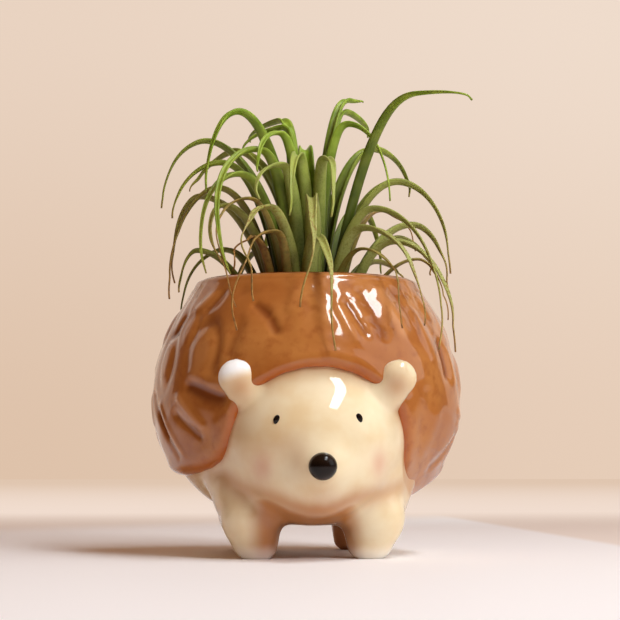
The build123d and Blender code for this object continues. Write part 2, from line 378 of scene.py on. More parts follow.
# Carved strokes seen from the front: two ends as bearing and height, then half width and rise in mm, where
# minus is a groove
front_strokes = [
    (-53, 42.0, -30, 37.6, 1.9, -1.1), (-52, 45.0, -31, 41.0, 1.8, 0.6), (-57, 39.5, -43, 30.8, 1.1, 0.9),
    (-60, 35.5, -46, 29.0, 1.2, -0.8), (-72, 38.0, -59, 24.5, 0.9, 0.6), (-77, 36.0, -64, 23.5, 1.2, -0.7),
    (-83, 41.0, -70, 29.0, 1.3, -0.6), (-50, 65.2, -59, 60.0, 1.6, 0.9), (-44, 65.5, -52, 59.0, 1.6, -0.6),
    (-64, 60.0, -72, 53.5, 1.5, -0.7), (-27, 61.5, -18, 58.0, 1.3, -0.9), (-18, 58.0, -14, 53.5, 1.3, -0.9),
    (-30, 57.5, -33, 48.0, 1.7, -0.6), (-38, 66.5, -25, 63.5, 2.6, -0.6), (-9, 65.5, -11, 59.0, 1.1, 0.4),
    (3, 63.5, 6, 55.0, 1.3, 0.5), (0, 66.5, 4, 61.0, 1.0, -0.5), (9, 61.5, 16, 51.5, 1.2, 0.6),
    (13, 62.5, 20, 53.0, 1.0, -0.5), (21, 66.0, 27, 52.0, 2.0, -0.7), (30, 66.5, 37, 53.0, 2.4, 0.6),
    (40, 66.0, 45, 56.0, 1.9, -0.6), (47, 60.0, 53, 47.0, 2.2, 0.6), (59, 54.0, 61, 43.5, 1.5, -0.9),
    (64, 52.0, 67, 42.0, 1.6, 0.6), (70, 36.5, 77, 34.0, 1.0, 0.7), (71, 33.5, 78, 31.0, 1.0, 0.5),
    (75, 29.5, 58, 21.5, 1.4, -0.6), (46, 42.0, 42, 30.0, 2.4, -0.4), (52, 36.0, 47, 24.0, 2.2, 0.4),
    (-41, 26.5, -52, 23.5, 1.6, 0.5), (-38, 33.5, -36, 27.0, 1.6, 0.4),
]
# Oval petals seen from the front: middle as bearing and height, half width, half length and height in mm
front_petals = [
    (-46, 50.0, 4.4, 6.6, 1.0), (-70, 48.0, 4.0, 6.4, 0.8), (-57, 55.5, 2.6, 4.0, 0.5),
    (78, 45.0, 4.0, 6.0, 0.6), (62, 62.0, 3.4, 4.8, 0.5), (88, 58.0, 4.0, 5.5, 0.7),
]


def stroke_relief(bearing, height, stroke):
    """A soft ridge or groove along a short line on the coat."""
    start_bearing, start_height, end_bearing, end_height, half_width, rise = stroke
    middle = (start_bearing + end_bearing) / 2
    turn = (bearing - middle + 180) % 360 - 180
    scale = radians(1) * carving_radius
    run = np.array([(end_bearing - start_bearing) * scale, end_height - start_height])
    length = np.hypot(*run)
    run /= length
    east = turn * scale
    north = height - (start_height + end_height) / 2
    along = east * run[0] + north * run[1]
    off = east * run[1] - north * run[0]
    past = np.clip(np.abs(along) - length / 2 + half_width, 0, None)
    return rise * np.exp(-(off ** 2 + past ** 2) / half_width ** 2)


def petal_relief(bearing, height, petal):
    """An oval bump inside a soft groove, which is deepest above it and to its right."""
    middle, centre_height, half_width, half_length, rise = petal
    turn = (bearing - middle + 180) % 360 - 180
    east = turn * radians(1) * carving_radius
    north = height - centre_height
    out = np.hypot(east / half_width, north / half_length)
    dome = 1 - ease((out - 0.35) / 0.65)
    facing = (0.8 * east / half_width + 0.6 * north / half_length) / np.maximum(out, 0.01)
    moat = np.exp(-((out - 1.14) / 0.26) ** 2) * (0.35 + 0.65 * ease((facing + 0.6) / 1.4))
    return rise * (0.75 * dome - 0.6 * moat)


quill_rows = (26.0, 37.0, 48.0, 59.0)
quills_in_row = 10
first_quill = 102
quill_spacing = 17.5
row_shift = 8.5
scribbles = 46


def quill_relief(bearing, height):
    """Carved quills in mm: placed strokes at the front, strokes of the same kind behind, and soft flutes."""
    relief = np.zeros_like(bearing)
    for stroke in front_strokes:
        relief += stroke_relief(bearing, height, stroke)
    for petal in front_petals:
        relief += petal_relief(bearing, height, petal)
    petal_chance = 0.45
    for row, row_height in enumerate(quill_rows):
        for place in range(quills_in_row):
            middle = first_quill + place * quill_spacing + (row % 2) * row_shift + rng.uniform(-3, 3)
            centre = row_height + rng.uniform(-2.5, 2.5)
            if rng.uniform() < petal_chance:
                size = rng.uniform(0.8, 1.15)
                petal = (middle, centre, 3.9 * size, 5.8 * size, rng.uniform(0.6, 1.0))
                relief += petal_relief(bearing, height, petal)
                continue
            lean = rng.uniform(-7, 7)
            reach = rng.uniform(3.5, 5.5)
            top, bottom = centre + reach, centre - reach
            half_width, depth = rng.uniform(1.1, 1.7), rng.uniform(0.6, 1.0)
            groove = (middle - lean, top, middle + lean, bottom, half_width, -depth)
            beside = middle + 5
            ridge = (beside - lean, top, beside + lean, bottom, 1.4, rng.uniform(0.4, 0.8))
            relief += stroke_relief(bearing, height, groove) + stroke_relief(bearing, height, ridge)

    # Small scribbles under the rim at the front right
    for _ in range(scribbles):
        middle, centre = rng.uniform(-4, 58), rng.uniform(55.5, 67.5)
        turn, reach = rng.uniform(-4.5, 4.5), rng.uniform(0.6, 1.6)
        rise = 0.12 * rng.choice((-1, 1))
        scribble = (middle - turn, centre + reach, middle + turn, centre - reach, rng.uniform(0.6, 1.0), rise)
        relief += stroke_relief(bearing, height, scribble)
    phase = np.radians(bearing)
    flutes = np.sin(phase * 34 + 1.6 * np.sin(phase * 5) + 0.5 * np.sin(height / 5))
    swell = np.sin(phase * 11 + 0.8 + 0.6 * np.sin(height / 9))
    return relief + flutes * 0.10 * ease((height - 46) / 12) + swell * 0.16


def build_coat():
    """Map a flat grid round the pot, from under the hem up the outside and over the rim."""
    deselect()
    bpy.ops.mesh.primitive_grid_add(
        x_subdivisions=coat_columns, y_subdivisions=coat_rows, size=2, location=(0, 0, 0)
    )
    coat = named("quill_coat_relief")
    grid = points_of(coat) * MM
    bearing = grid[:, 0] * 180
    along = (grid[:, 1] + 1) / 2
    low = hem_height(bearing)

    tuck_share = 0.035
    lip_share = 0.90
    climb = np.clip((along - tuck_share) / (lip_share - tuck_share), 0, 1)
    height = low + (shoulder_height - low) * climb
    radius = coat_radius(height)

    # Distance of each point from the hem, in batches to spare memory
    hem = np.linspace(-180, 180, 721)
    hem_x = np.radians(hem) * hem_radius
    hem_z = hem_height(hem)
    from_edge = np.empty(len(height))
    batch = 20000
    for start in range(0, len(height), batch):
        part = slice(start, start + batch)
        sideways = np.radians(bearing[part])[:, None] * hem_radius - hem_x
        gap = np.hypot(sideways, height[part][:, None] - hem_z)
        from_edge[part] = gap.min(axis=1)

    # The hem is rounded, and the carving fades towards hem and rim and keeps inside the coat's own outline
    hem_edge = 0.3
    inset = 1 - np.clip(from_edge / 2.3, 0, 1)
    rounding = (coat_thickness - hem_edge) * (1 - np.sqrt(1 - inset ** 2))
    calm = ease((from_edge - 1.0) / 5) * ease((shoulder_height + 1.0 - height) / 5)
    carved = np.clip(quill_relief(bearing, height), -1.6, 1.1)
    crest = 0.35
    sink = 0.75
    radius = radius - crest * calm * np.log1p(np.exp((sink - carved) / crest)) - rounding

    # A low swell above the forehead, where the face pushes the coat forward
    brow = np.exp(-((height - 49.5) / 7.5) ** 2 - ((bearing - 6) / 34) ** 2)
    radius = radius + brow * ease(from_edge / 4)

    # Under the hem the surface tucks back into the bowl's wall
    tuck = np.clip(1 - along / tuck_share, 0, 1)
    tucked = coat_radius(low) - coat_thickness + hem_edge - 1.6 * tuck
    radius = np.where(along < tuck_share, tucked, radius)
    height = np.where(along < tuck_share, low + 0.4 * tuck, height)

    # Over the rim the surface rolls in and runs down inside the mouth
    on_lip = along > lip_share
    roll_in = np.clip((along - lip_share) / (1 - lip_share), 0, 1)
    rolled = 0.6
    inside_depth = 7.0
    width = (rim_radius - mouth_radius) / 2 + 0.15
    turn = np.clip(roll_in / rolled, 0, 1) * pi
    lip_radius = rim_radius - width + width * np.cos(turn)
    lip_top = shoulder_height + lip_height * np.sin(turn) ** 0.8
    below = np.clip((roll_in - rolled) / (1 - rolled), 0, 1)
    radius = np.where(on_lip, lip_radius + 1.4 * below, radius)
    lip_line = np.where(roll_in > rolled, shoulder_height - inside_depth * below, lip_top)
    height = np.where(on_lip, lip_line, height)

    across = np.radians(bearing)
    places = np.stack([radius * np.sin(across), axis_back - radius * np.cos(across), height], axis=1)
    move_points(coat, places)
    level = np.where(on_lip, 0.5, 0.5 + 0.45 * np.clip(carved, -1.1, 1.1) * calm)
    write_attribute(coat, "relief", level)
    write_attribute(coat, "edge", np.exp(-from_edge / 1.5) * (along < lip_share))
    outward(coat)
    apply_modifier(coat, "SMOOTH", factor=0.5, iterations=7)
    smooth(coat)
    dress(coat, brown, "planter", "brown_glaze", "quill_coat")


# Skin: head, chest, belly, ears and legs, luted together and smoothed over before glazing

def ball(centre, halves, name="lump"):
    """An oval lump, with its centre given from the pot's axis."""
    deselect()
    place = [c * MM for c in (centre[0], centre[1] + axis_back, centre[2])]
    bpy.ops.mesh.primitive_uv_sphere_add(segments=64, ring_count=32, radius=MM, location=place)
    obj = named(name)
    obj.scale = halves
    settle(obj)
    return obj


# Legs: place across and from the pot's axis, and radius, at the sole and at the hip
sole_across, sole_back, sole_radius = 13.5, 25.0, 4.5
hip_across, hip_back, hip_radius = 16.0, 15.0, 11.0
leg_bottom = -1.3
leg_height = 21.4


def leg_lump(side, end):
    """A short cone that leans outwards from the belly to its sole."""
    deselect()
    bpy.ops.mesh.primitive_cone_add(
        vertices=64, radius1=sole_radius * MM, radius2=hip_radius * MM, depth=1, location=(0, 0, 0)
    )
    obj = named("leg_lump")
    bpy.ops.object.mode_set(mode="EDIT")
    bpy.ops.mesh.select_all(action="SELECT")
    bpy.ops.mesh.subdivide(number_cuts=3)
    bpy.ops.object.mode_set(mode="OBJECT")
    places = points_of(obj)
    rise = places[:, 2] * MM + 0.5
    places[:, 0] += side * (sole_across + (hip_across - sole_across) * rise)
    places[:, 1] += axis_back + end * (sole_back + (hip_back - sole_back) * rise)
    places[:, 2] = leg_bottom + leg_height * rise
    move_points(obj, places)
    return obj


def belly_lump():
    """The bowl's outside, a little proud of it, as a closed round body."""
    belly = ball((0, 0, girth_height), (1, 1, 1), "belly_lump")
    places = points_of(belly)
    unit = places - np.array([0, axis_back, girth_height])
    swing = np.arctan2(unit[:, 1], unit[:, 0])
    reach_up = shoulder_height - girth_height
    reach_down = girth_height - belly_clearance
    height = girth_height + unit[:, 2] * np.where(unit[:, 2] > 0, reach_up, reach_down)
    at_pole = np.abs(unit[:, 2]) > 0.9999
    radius = np.where(at_pole, 0, bowl_outside(height) + 0.45)
    move_points(belly, np.stack([radius * np.cos(swing), axis_back + radius * np.sin(swing), height], axis=1))
    return belly


def merge(lumps, base, rounds):
    """Join lumps into one skin and soften the seams between them."""
    deselect()
    for lump in lumps:
        lump.select_set(True)
    bpy.context.view_layer.objects.active = base
    bpy.ops.object.join()
    skin = named("cream_skin")
    apply_modifier(skin, "REMESH", mode="VOXEL", voxel_size=0.55 * MM)
    apply_modifier(skin, "SMOOTH", factor=0.5, iterations=rounds)
    return skin


def build_skin():
    """Blend head, muzzle and chest into the belly, add legs and ears, then hollow what lies behind the coat.

    Each stage is smoothed less than the one before, so that the ears keep their form.
    """
    belly = belly_lump()
    body = [
        belly,
        ball((0.4, -24.5, 28.8), (22.3, 21.0, 18.0)),
        ball((0.4, -20.5, 20.5), (23.6, 17.5, 13.0)),
        ball((0.5, -30.0, 22.5), (17.5, 15.5, 13.5)),
        ball((0.7, -39.0, 22.3), (8.6, 9.6, 8.4)),
    ]
    skin = merge(body, belly, 110)
    legs = [skin, ball((0, -23.5, 12.4), (12.0, 12.0, 4.6))]
    for side in (-1, 1):
        for end in (-1, 1):
            legs.append(leg_lump(side, end))
            legs.append(ball((side * 15.2, end * 26.0, 10.0), (7.4, 6.4, 8.2)))
            legs.append(ball((side * 16.4 - 0.4, end * 20.5, 15.4), (7.4, 9.0, 8.6)))
    skin = merge(legs, skin, 62)
    ears = [skin]
    for side in (-1, 1):
        out = 0.5 + side * 0.5
        ears.append(ball((side * 18.9 + out, -34.8, 43.4), (4.5, 3.1, 4.5)))
        ears.append(ball((side * 17.3 + out, -33.6, 41.4), (4.6, 3.6, 4.6)))
        ears.append(ball((side * 15.0 + out, -32.0, 39.4), (5.8, 4.6, 5.2)))
    skin = merge(ears, skin, 14)

    # Flat soles with a rounded foot above them
    places = points_of(skin)
    foot_across = 14.1 * np.sign(places[:, 0])
    foot_back = axis_back + sole_back * np.sign(places[:, 1] - axis_back)
    foot = np.stack([foot_across, foot_back], axis=1)
    low = np.clip(1 - places[:, 2] / 2.2, 0, 1)
    places[:, :2] = foot + (places[:, :2] - foot) * (1 - 0.24 * low ** 2)[:, None]
    places[:, 2] = np.maximum(places[:, 2], 0)
    move_points(skin, places)

    # Open the top under the coat and line the hollow, in rings of height and radius inside the bowl's wall
    liner_rings = [
        (53.0, 32.4), (38.5, 35.0), (31.0, 34.3), (25.4, 32.1), (20.7, 29.1), (17.0, 25.5), (14.2, 21.8),
        (12.3, 18.2), (11.5, 8.0),
    ]
    open_height = liner_rings[0][0] * MM
    only(skin)
    bpy.ops.object.mode_set(mode="EDIT")
    bpy.ops.mesh.select_all(action="SELECT")
    bpy.ops.mesh.bisect(plane_co=(0, 0, open_height), plane_no=(0, 0, 1), clear_outer=True, use_fill=False)
    bpy.ops.mesh.select_all(action="DESELECT")
    bpy.ops.mesh.select_non_manifold(
        extend=False, use_wire=False, use_boundary=True, use_multi_face=False, use_non_contiguous=False,
        use_verts=False,
    )
    bpy.ops.object.mode_set(mode="OBJECT")
    for height, radius in liner_rings:
        bpy.ops.object.mode_set(mode="EDIT")
        bpy.ops.mesh.extrude_region_move()
        bpy.ops.object.mode_set(mode="OBJECT")
        flags = np.empty(len(skin.data.vertices), dtype=bool)
        skin.data.vertices.foreach_get("select", flags)
        places = points_of(skin)
        ring = places[flags] - np.array([0, axis_back, 0])
        swing = np.arctan2(ring[:, 1], ring[:, 0])
        places[flags] = np.stack(
            [radius * np.cos(swing), axis_back + radius * np.sin(swing), np.full(len(ring), height)], axis=1
        )
        move_points(skin, places)
    bpy.ops.object.mode_set(mode="EDIT")
    bpy.ops.mesh.edge_face_add()
    bpy.ops.mesh.select_all(action="SELECT")
    bpy.ops.mesh.normals_make_consistent(inside=False)
    bpy.ops.object.mode_set(mode="OBJECT")

    x, y, z = (points_of(skin) - np.array([0, axis_back, 0])).T
    # Orange-brown share: sprayed colour together with painted shade
    write_attribute(skin, "spray_and_shade", spray_and_shade_share(x, y, z))
    write_attribute(skin, "blush", spots(x, y, z, blush_spots))
    # White share: a painted highlight on the left ear, and paler front soles
    write_attribute(skin, "pale", highlight_and_pale_share(x, y, z))
    smooth(skin)
    dress(skin, cream, "planter", "cream_glaze", "head", "ear_left", "ear_right",
          "leg_front_left", "leg_front_right", "leg_rear_left", "leg_rear_right")
    return skin


def spots(x, y, z, rows):
    """The sum of soft spots, each a row of centre from the pot's axis, sizes, and share at the centre."""
    total = np.zeros_like(x)
    for centre, sizes, share in rows:
        off = [(place - middle) / size for place, middle, size in zip((x, y, z), centre, sizes)]
        total += share * np.exp(-(off[0] ** 2 + off[1] ** 2 + off[2] ** 2))
    return total


# Lower edge of the face, along whose crease shade is painted: place across and height in mm
chin_knots = [
    (-24, 21.5), (-20, 19.3), (-17, 17.0), (-11, 15.6), (-6, 13.4), (-2, 12.2), (2, 12.2), (5, 13.2),
    (9, 15.2), (17, 16.4), (24, 19.0),
]
# Soft spots: painted shade on the snout's left side, under the left eye and on the left of the chest; sprayed
# colour on the lip, the temples and in the ears
spray_and_shade_spots = [
    # Painted shade on the snout's left side and under the left eye
    ((-7.5, -42, 27.5), (6.0, 9, 3.4), 0.22),
    ((-4.8, -46, 24.0), (2.6, 6, 3.0), 0.2),
    ((1.0, -46, 16.0), (4.0, 8, 3.2), 0.25),
    ((-18, -32, 31), (4, 9, 8), 0.16),
    ((18.5, -32, 32), (3, 9, 7), 0.1),
    # Painted shade on the left of the chest
    ((-19.5, -30, 18.0), (4.5, 10, 3.4), 0.08),
    ((-18.0, -37, 41.2), (3.2, 4, 3.2), 0.6),
    ((19.2, -37, 41.6), (3.2, 4, 3.2), 0.6),
]
# Pink cheeks, taller than wide
blush_spots = [
    ((-13.0, -40, 22.0), (2.4, 9, 3.4), 0.5),
    ((14.8, -39, 23.0), (2.1, 9, 3.4), 0.5),
]


def spray_and_shade_share(x, y, z):
    """Share of orange-brown: sprayed colour with painted shadow by the hem, painted shade along the chin,
    inside the legs and under the belly, and soft spots of both.
    """
    bearing = np.degrees(np.arctan2(x, -y))
    hem = hem_height(bearing)
    reach = np.hypot(x, y)
    trim = ease((z - 35.5) / 2) * ease((np.abs(x) - 11) / 3) * ease((-y - 29) / 3)
    on_body = ease((reach - 24) / 6) * (1 - trim)
    # By the hem: sprayed colour, and painted shadow under the coat's overhanging edge
    by_hem = np.exp(-np.clip(hem - z, 0, 99) / 1.3) * on_body * 0.6

    # Painted shade in the crease under the face, along the chin
    knots = np.array(chin_knots)
    chin = np.interp(x, knots[:, 0], knots[:, 1])
    front = ease((-y - 6) / 10)
    band_width = np.where(z > chin, 2.2, 3.2)
    band = np.exp(-((z - chin + 0.3) / band_width) ** 2) * (0.82 - 0.016 * np.abs(x)) * front
    # Painted shade inside the front legs and under the arch between them
    between = ease((x + 17.5) / 6.0) * ease((12.5 - x) / 5.5)
    inner_leg = ease((chin + 1.0 - z) / 3.5) * between * 0.9 * front
    # Painted shade low under the belly, away from the front
    under = ease((12.0 - z) / 5) * ease((19 - np.abs(x)) / 8) * 0.9 * (1 - front)
    strongest_share = np.maximum.reduce([by_hem, under, band, inner_leg])
    return np.clip(strongest_share + spots(x, y, z, spray_and_shade_spots), 0, 1)


def highlight_and_pale_share(x, y, z):
    """Where the colour turns white: a painted highlight on top of the left ear, and paler low on the front of
    the front feet.
    """
    ear = ease((z - 42.4 - 0.3 * (x + 19)) / 3.4) * ease((-14.8 - x) / 1.0) * ease((-y - 30) / 3)
    sole = ease((4.2 - z) / 4) * ease((-y - 20) / 8) * 0.5
    return np.clip(ear + sole, 0, 1)


def build_nose():
    """A ball of black slip, slightly flattened where it sits."""
    nose = ball((0.9, -47.4, 22.3), (3.35, 3.2, 3.25), "nose_ball")
    apply_modifier(nose, "SUBSURF", levels=1, render_levels=1)
    smooth(nose)
    dress(nose, black, "planter", "black_glaze", "nose")


def build_eyes(skin):
    """Two small raised dots of black, set on the skin's surface and leaning with it."""
    for name, x, z, lean in (("left", -9.6, 33.2, 14), ("right", 9.8, 33.6, -20)):
        in_front = Vector((x * MM, -0.2, z * MM))
        place = skin.ray_cast(in_front, Vector((0, 1, 0)))[1]
        deselect()
        bpy.ops.mesh.primitive_uv_sphere_add(segments=32, ring_count=16, radius=MM, location=place)
        eye = named(f"eye_dot_{name}")
        eye.scale = (0.78, 0.42, 1.15)
        eye.rotation_euler = (0, radians(lean), 0)
        settle(eye)
        smooth(eye)
        dress(eye, black, "planter", "black_glaze", f"eye_{name}")


# Leaves: each follows the same arch as its solid, with a channel, a wavy edge and a dried curling tip

leaf_reach = 44.0
leaf_rise = 50.0
leaf_breadth = 3.4
leaf_thickness = 0.42
stem_bottom = 14.8
stem_foot_height = 4.0
ring_step = 4.0
ring_width = 1.45
stem_core_radius = 1.1

# Bearing and swing in degrees, then the arch's reach and rise, the tip's reach and rise, and the breadth
leaf_ring_shares = [
    [
        (-150, 0, 0.50, 0.20, 0.86, -0.30, 0.70),
        (-120, 0, 0.55, 0.18, 0.84, -0.15, 0.75),
        (-90, 4, 0.64, 0.15, 0.74, -0.06, 0.70),
        (-55, 0, 0.40, 0.20, 0.52, 0.03, 0.60),
        (-30, 2, 0.37, 0.22, 0.93, -0.30, 0.60),
        (5, 0, 0.34, 0.19, 0.94, -0.40, 0.95),
        (34, -3, 0.50, 0.13, 0.89, -0.28, 0.45),
        (46, -2, 0.41, 0.24, 0.86, -0.26, 0.90),
        (76, -12, 0.51, 0.19, 0.90, -0.38, 0.90),
        (92, -8, 0.65, 0.12, 0.81, -0.20, 0.45),
        (112, 0, 0.60, 0.24, 0.82, 0.06, 0.80),
        (130, 0, 0.58, 0.13, 0.78, 0.04, 0.80),
        (160, 0, 0.52, 0.18, 0.84, -0.25, 0.75),
        (185, 0, 0.50, 0.22, 0.85, -0.20, 0.70),
    ],
    [
        (-165, 0, 0.50, 0.42, 0.86, 0.05, 0.80),
        (-114, -5, 0.68, 0.46, 0.88, 0.02, 0.75),
        (-95, 18, 0.52, 0.48, 0.81, -0.11, 0.80),
        (-75, 26, 0.50, 0.37, 0.66, 0.06, 0.70),
        (-55, 25, 0.40, 0.40, 0.84, -0.18, 0.45),
        (-33, 12, 0.42, 0.34, 0.86, -0.15, 0.65),
        (2, -8, 0.34, 0.39, 0.87, -0.19, 0.90),
        (62, -10, 0.42, 0.35, 0.89, -0.38, 0.80),
        (100, -5, 0.64, 0.30, 0.84, -0.03, 0.85),
        (122, 0, 0.55, 0.40, 0.80, 0.20, 0.55),
        (143, 0, 0.58, 0.42, 0.86, 0.10, 0.70),
        (172, 0, 0.50, 0.45, 0.86, 0.20, 0.80),
    ],
    [
        (-135, 4, 0.58, 0.72, 0.88, 0.52, 0.80),
        (-106, 0, 0.61, 0.74, 0.88, 0.40, 0.75),
        (-88, 2, 0.49, 0.60, 0.78, 0.32, 0.80),
        (-63, 16, 0.44, 0.52, 0.80, 0.00, 0.80),
        (-57, 22, 0.33, 0.65, 0.81, -0.02, 0.85),
        (-34, 7, 0.28, 0.56, 0.64, 0.36, 0.75),
        (-14, 0, 0.22, 0.62, 0.58, 0.28, 0.75),
        (20, -6, 0.24, 0.60, 0.50, 0.28, 0.75),
        (44, 4, 0.80, 0.88, 1.16, 0.84, 0.65),
        (98, 4, 0.54, 0.52, 0.88, 0.06, 0.85),
        (125, 2, 0.50, 0.72, 0.84, 0.50, 0.80),
    ],
    [
        (-150, 0, 0.26, 0.86, 0.66, 0.80, 0.75),
        (-74, 2, 0.42, 0.85, 0.62, 0.44, 0.85),
        (-46, 4, 0.22, 0.74, 0.46, 0.52, 0.65),
        (74, -6, 0.24, 0.80, 0.50, 0.40, 0.75),
        (140, 6, 0.38, 0.92, 0.72, 0.84, 0.75),
        (178, 0, 0.28, 0.72, 0.50, 0.54, 0.90),
    ],
    [
        (-115, 0, 0.14, 0.80, 0.40, 0.70, 0.70),
        (130, -4, 0.34, 0.97, 0.44, 0.99, 0.60),
    ],
]
# Breadth along a leaf, as shares of its length and of the breadth of its solid
leaf_taper = [(0.0, 1.5), (0.18, 1.75), (0.32, 1.6), (0.5, 1.1), (0.7, 0.68), (0.85, 0.36), (1.0, 0.08)]
leaf_rows = 56
leaf_columns = 8


def leaf_line(row, base, along):
    """Midline of a leaf as an array of places: up from the stem to the arch, then down to the tip."""
    bearing, swing, arch_reach, arch_rise, tip_reach, tip_rise, _ = row
    base_bearing, base_radius, base_height = base
    arch_radius = arch_reach * leaf_reach
    arch_height = rim_height + arch_rise * leaf_rise
    tip_radius = tip_reach * leaf_reach
    tip_height = rim_height + tip_rise * leaf_rise
    up = np.clip(along, 0, 1) * pi / 2
    down = np.clip(along - 1, 0, 1) * pi / 2
    radius = np.where(
        along < 1,
        base_radius + (arch_radius - base_radius) * (1 - np.cos(up)),
        arch_radius + (tip_radius - arch_radius) * np.sin(down),
    )
    height = np.where(
        along < 1,
        base_height + (arch_height - base_height) * np.sin(up),
        arch_height + (tip_height - arch_height) * (1 - np.cos(down)),
    )
    heading = np.where(
        along < 1,
        base_bearing + (bearing - base_bearing) * ease(along),
        bearing + swing * np.clip(along - 1, 0, 1) ** 2,
    )
    across = np.radians(heading)
    return np.stack([radius * np.sin(across), axis_back - radius * np.cos(across), height], axis=1)


# Tone of each leaf: silver scale, olive age, dryness of the whole leaf, and where the dry tip starts
tones = {
    "leaf_03": (0.2, 0.1, 0.0, 0.85), "leaf_04": (0.1, 0.3, 0.8, 0.50), "leaf_05": (0.4, 0.3, 0.55, 0.55),
    "leaf_06": (1.0, 0.0, 0.0, 0.72), "leaf_07": (0.4, 0.5, 0.2, 0.62), "leaf_08": (0.9, 0.2, 0.0, 0.74),
    "leaf_09": (0.8, 0.3, 0.0, 0.78), "leaf_10": (0.3, 0.6, 0.3, 0.66), "leaf_11": (0.5, 0.3, 0.0, 0.80),
    "leaf_12": (0.3, 0.3, 0.1, 0.80), "leaf_16": (0.2, 0.7, 0.1, 0.78), "leaf_17": (0.1, 0.9, 0.1, 0.74),
    "leaf_18": (0.3, 0.6, 0.1, 0.84), "leaf_19": (0.2, 0.5, 0.45, 0.60), "leaf_20": (0.9, 0.2, 0.1, 0.62),
    "leaf_21": (0.9, 0.4, 0.0, 0.74), "leaf_22": (0.7, 0.3, 0.0, 0.80), "leaf_23": (0.6, 0.5, 0.0, 0.76),
    "leaf_24": (0.3, 0.6, 0.6, 0.60), "leaf_27": (0.1, 0.5, 0.0, 0.86), "leaf_28": (0.1, 0.2, 0.0, 0.90),
    "leaf_29": (0.1, 0.2, 0.0, 0.86), "leaf_30": (0.2, 0.0, 0.0, 0.92), "leaf_31": (0.1, 0.0, 0.0, 0.94),
    "leaf_32": (0.7, 0.0, 0.0, 0.95), "leaf_33": (0.5, 0.0, 0.0, 0.96), "leaf_34": (0.7, 0.0, 0.0, 0.95),
    "leaf_35": (0.0, 0.0, 0.0, 0.97), "leaf_36": (0.4, 0.5, 0.0, 0.84), "leaf_37": (0.1, 0.2, 0.0, 0.92),
}
young_tone = (0.1, 0.0, 0.0, 0.96)
dry_leaves = ("leaf_04", "leaf_05", "leaf_19", "leaf_24")


def build_leaf(name, row, base, ring):
    """A channelled blade on its midline, thickened and rounded, with its tones stored along it."""
    deselect()
    bpy.ops.mesh.primitive_grid_add(
        x_subdivisions=leaf_columns, y_subdivisions=leaf_rows, size=2, location=(0, 0, 0)
    )
    leaf = named(name + "_blade")
    grid = points_of(leaf) * MM
    side = grid[:, 0]
    share = (grid[:, 1] + 1) / 2
    silver, olive, dryness, dry_from = tones.get(name, young_tone)
    stations = np.linspace(0, 1, 401)
    line = leaf_line(row, base, 2 * stations)

    # Ease the sharp crest of the arch into a round one
    crest_rounds = 260
    for _ in range(crest_rounds):
        line[1:-1] = line[1:-1] * 0.5 + (line[:-2] + line[2:]) * 0.25
    tangent = np.gradient(line, axis=0)
    tangent /= np.linalg.norm(tangent, axis=1)[:, None]
    away = line - np.array([0, axis_back, 0])
    away[:, 2] = 0
    level = np.cross(away, np.array([0, 0, -1.0]))
    level -= tangent * (level * tangent).sum(axis=1)[:, None]
    level /= np.linalg.norm(level, axis=1)[:, None]
    upper = np.cross(tangent, level)

    # Age bends the leaf: a lazy meander all along, and a curl in the dried tip
    loose = ease((stations - 0.25) / 0.5)
    meander = 0.7 * np.sin(stations * rng.uniform(5, 8) + rng.uniform(0, 6)) * loose
    curl_turns = rng.uniform(4, 7)
    curl_start = rng.uniform(0, 6)
    curl = (0.3 + 2.2 * (1 - dry_from)) * ease((stations - dry_from + 0.1) / (1.1 - dry_from))
    line = line + level * (meander + curl * np.sin(stations * curl_turns * 4 + curl_start))[:, None]
    line = line + upper * (0.6 * curl * np.abs(np.cos(stations * curl_turns * 3 + curl_start)))[:, None]

    def read(values):
        return np.stack([np.interp(share, stations, values[:, i]) for i in range(3)], axis=1)

    middle, across, above = read(line), read(level), read(upper)

    # The blade narrows to its tip, more so where it has dried, and is channelled where it is broad
    least_breadth = 0.3
    taper = np.interp(share, *zip(*leaf_taper)) * (0.84 + 0.04 * ring)
    breadth = 0.2 + row[-1] * leaf_breadth * taper
    shrinking = 0.3 + min(1, dryness + 3 * (1 - dry_from))
    breadth *= 1 - 0.6 * ease((share - dry_from) / 0.14) * shrinking
    breadth = np.maximum(breadth, least_breadth)
    twist = rng.uniform(-0.45, 0.45) * ease((share - 0.3) / 0.6)
    twist = twist + rng.uniform(-1.6, 1.6) * ease((share - dry_from + 0.05) / 0.25)
    wave = 0.08 * np.sin(share * rng.uniform(14, 22) + rng.uniform(0, 6)) * ease((share - 0.2) / 0.3)
    gutter = (0.55 - 0.25 * share) * breadth * np.clip(breadth / 2.5, 0, 1) * side ** 2
    turn = twist + wave
    flat = side * breadth / 2 * (1 - 0.12 * side ** 2)
    places = (
        middle
        + across * (flat * np.cos(turn) - gutter * np.sin(turn))[:, None]
        + above * (flat * np.sin(turn) + gutter * np.cos(turn))[:, None]
    )
    move_points(leaf, places)

    # Tones along the leaf
    dry_tip = ease((share - dry_from) / (1.08 - dry_from))
    dry = np.clip(dryness * ease((share - 0.15) / 0.3) + dry_tip * (1 - dryness), 0, 1)
    scaly = silver * (0.3 + 0.55 * ease((share - 0.26) / 0.2) + 0.3 * share)
    speckled = min(1.0, 2.4 * (1 - dry_from) + dryness)
    write_attribute(leaf, "along", share)
    write_attribute(leaf, "silver", np.clip(scaly, 0, 1))
    write_attribute(leaf, "olive", np.clip(olive * (0.35 + 0.9 * share), 0, 1))
    write_attribute(leaf, "dry", dry)
    write_attribute(leaf, "speck", speckled * ease((share - dry_from + 0.32) / 0.34))
    write_attribute(leaf, "young", np.full(len(share), min(1.0, ring / 3)))
    apply_modifier(leaf, "SOLIDIFY", thickness=leaf_thickness * MM, offset=0.0, use_even_offset=False)
    outward(leaf)
    smooth(leaf)
    slot = "dry_leaf" if name in dry_leaves else "green_leaf"
    dress(leaf, leaf_material, "air_plant", slot, name)


